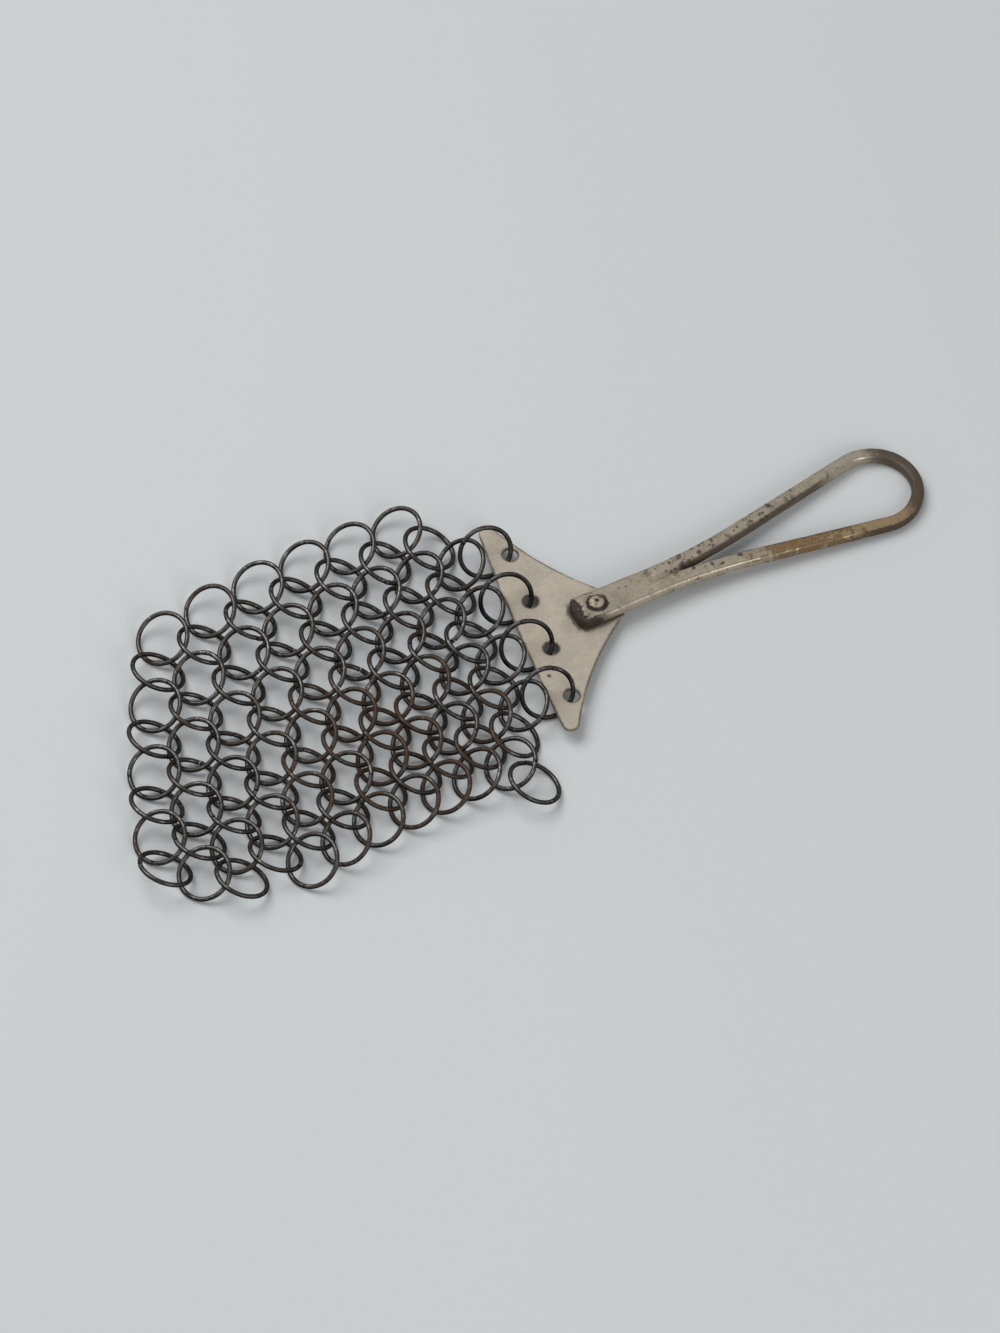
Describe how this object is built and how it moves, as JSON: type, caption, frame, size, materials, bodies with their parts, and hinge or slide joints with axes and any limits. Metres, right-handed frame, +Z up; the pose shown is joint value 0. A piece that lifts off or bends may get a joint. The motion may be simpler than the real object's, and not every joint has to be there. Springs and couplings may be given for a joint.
{
  "type": "chain mail pot scrubber",
  "caption": "Pot scrubber with a sheet of linked wire rings hung from the holed edge of a flared scraper plate, riveted to a bar handle bent into a hanging loop.",
  "frame": {"origin": "middle of the footprint on the surface the scrubber lies on", "axes": "+X along the plate from the mail sheet toward the handle loop, +Z up from the surface, +Y across the mail sheet"},
  "size_m": [0.2972, 0.1354, 0.0167],
  "materials": {
    "plate_steel": "dull tinned steel with rust specks",
    "handle_steel": "worn tinned steel with brown rust",
    "rivet_steel": "rusted steel",
    "ring_wire": "darkened steel wire"
  },
  "bodies": {
    "handle": {"scraper_plate": "plate_steel", "handle_loop": "handle_steel", "handle_rivet": "rivet_steel"},
    "plate_rings": {"plate_rings": "ring_wire"},
    "mail_row_01": {"mail_row_01": "ring_wire"},
    "mail_row_02": {"mail_row_02": "ring_wire"},
    "mail_row_03": {"mail_row_03": "ring_wire"},
    "mail_row_04": {"mail_row_04": "ring_wire"},
    "mail_row_05": {"mail_row_05": "ring_wire"},
    "mail_row_06": {"mail_row_06": "ring_wire"},
    "mail_row_07": {"mail_row_07": "ring_wire"},
    "mail_row_08": {"mail_row_08": "ring_wire"},
    "mail_row_09": {"mail_row_09": "ring_wire"},
    "mail_row_10": {"mail_row_10": "ring_wire"},
    "mail_row_11": {"mail_row_11": "ring_wire"},
    "mail_row_12": {"mail_row_12": "ring_wire"},
    "mail_row_13": {"mail_row_13": "ring_wire"},
    "mail_row_14": {"mail_row_14": "ring_wire"},
    "mail_row_15": {"mail_row_15": "ring_wire"},
    "mail_row_16": {"mail_row_16": "ring_wire"},
    "mail_row_17": {"mail_row_17": "ring_wire"},
    "mail_row_18": {"mail_row_18": "ring_wire"},
    "mail_row_19": {"mail_row_19": "ring_wire"},
    "mail_row_20": {"mail_row_20": "ring_wire"}
  },
  "joints": [
    {"name": "plate_rings_swing", "type": "hinge", "parent": "handle", "child": "plate_rings", "pos_m": [0.00799, 0.00588, 0.00517], "axis": [0, 1, 0], "range_deg": [-20, 14]},
    {"name": "mail_row_01_swing", "type": "hinge", "parent": "plate_rings", "child": "mail_row_01", "pos_m": [-0.00433, 0.00771, 0.00675], "axis": [-0.0038, 1, 0], "range_deg": [-14, 14]},
    {"name": "mail_row_02_swing", "type": "hinge", "parent": "mail_row_01", "child": "mail_row_02", "pos_m": [-0.01214, 0.00771, 0.00504], "axis": [-0.0122, 0.9999, 0], "range_deg": [-14, 14]},
    {"name": "mail_row_03_swing", "type": "hinge", "parent": "mail_row_02", "child": "mail_row_03", "pos_m": [-0.01875, 0.00254, 0.00502], "axis": [-0.027, 0.9996, 0], "range_deg": [-14, 14]},
    {"name": "mail_row_04_swing", "type": "hinge", "parent": "mail_row_03", "child": "mail_row_04", "pos_m": [-0.02576, 0.00735, 0.00508], "axis": [-0.0523, 0.9986, 0], "range_deg": [-14, 14]},
    {"name": "mail_row_05_swing", "type": "hinge", "parent": "mail_row_04", "child": "mail_row_05", "pos_m": [-0.03279, 0.00689, 0.00513], "axis": [-0.0778, 0.997, 0], "range_deg": [-14, 14]},
    {"name": "mail_row_06_swing", "type": "hinge", "parent": "mail_row_05", "child": "mail_row_06", "pos_m": [-0.0398, 0.00625, 0.00505], "axis": [-0.1028, 0.9947, 0], "range_deg": [-14, 14]},
    {"name": "mail_row_07_swing", "type": "hinge", "parent": "mail_row_06", "child": "mail_row_07", "pos_m": [-0.0469, 0.00541, 0.00495], "axis": [-0.1284, 0.9917, 0], "range_deg": [-14, 14]},
    {"name": "mail_row_08_swing", "type": "hinge", "parent": "mail_row_07", "child": "mail_row_08", "pos_m": [-0.05403, 0.00437, 0.00492], "axis": [-0.1551, 0.9879, 0], "range_deg": [-14, 14]},
    {"name": "mail_row_09_swing", "type": "hinge", "parent": "mail_row_08", "child": "mail_row_09", "pos_m": [-0.06127, 0.00311, 0.00491], "axis": [-0.1844, 0.9828, 0], "range_deg": [-14, 14]},
    {"name": "mail_row_10_swing", "type": "hinge", "parent": "mail_row_09", "child": "mail_row_10", "pos_m": [-0.06877, 0.00161, 0.00493], "axis": [-0.2102, 0.9777, 0], "range_deg": [-14, 14]},
    {"name": "mail_row_11_swing", "type": "hinge", "parent": "mail_row_10", "child": "mail_row_11", "pos_m": [-0.07649, -0.00013, 0.00486], "axis": [-0.2356, 0.9719, 0], "range_deg": [-14, 14]},
    {"name": "mail_row_12_swing", "type": "hinge", "parent": "mail_row_11", "child": "mail_row_12", "pos_m": [-0.08436, -0.00211, 0.00482], "axis": [-0.2566, 0.9665, 0], "range_deg": [-14, 14]},
    {"name": "mail_row_13_swing", "type": "hinge", "parent": "mail_row_12", "child": "mail_row_13", "pos_m": [-0.09224, -0.00432, 0.00486], "axis": [-0.2824, 0.9593, 0], "range_deg": [-14, 14]},
    {"name": "mail_row_14_swing", "type": "hinge", "parent": "mail_row_13", "child": "mail_row_14", "pos_m": [-0.10003, -0.00675, 0.00486], "axis": [-0.3082, 0.9513, 0], "range_deg": [-14, 14]},
    {"name": "mail_row_15_swing", "type": "hinge", "parent": "mail_row_14", "child": "mail_row_15", "pos_m": [-0.1061, -0.01418, 0.00485], "axis": [-0.3344, 0.9424, 0], "range_deg": [-14, 14]},
    {"name": "mail_row_16_swing", "type": "hinge", "parent": "mail_row_15", "child": "mail_row_16", "pos_m": [-0.11188, -0.02172, 0.00485], "axis": [-0.3598, 0.933, 0], "range_deg": [-14, 14]},
    {"name": "mail_row_17_swing", "type": "hinge", "parent": "mail_row_16", "child": "mail_row_17", "pos_m": [-0.11933, -0.02468, 0.00488], "axis": [-0.3784, 0.9256, 0], "range_deg": [-14, 14]},
    {"name": "mail_row_18_swing", "type": "hinge", "parent": "mail_row_17", "child": "mail_row_18", "pos_m": [-0.1246, -0.03247, 0.00489], "axis": [-0.401, 0.9161, 0], "range_deg": [-14, 14]},
    {"name": "mail_row_19_swing", "type": "hinge", "parent": "mail_row_18", "child": "mail_row_19", "pos_m": [-0.12958, -0.04035, 0.00479], "axis": [-0.4284, 0.9036, 0], "range_deg": [-14, 14]},
    {"name": "mail_row_20_swing", "type": "hinge", "parent": "mail_row_19", "child": "mail_row_20", "pos_m": [-0.13653, -0.04377, 0.00496], "axis": [-0.4479, 0.8941, 0], "range_deg": [-14, 14]}
  ]
}
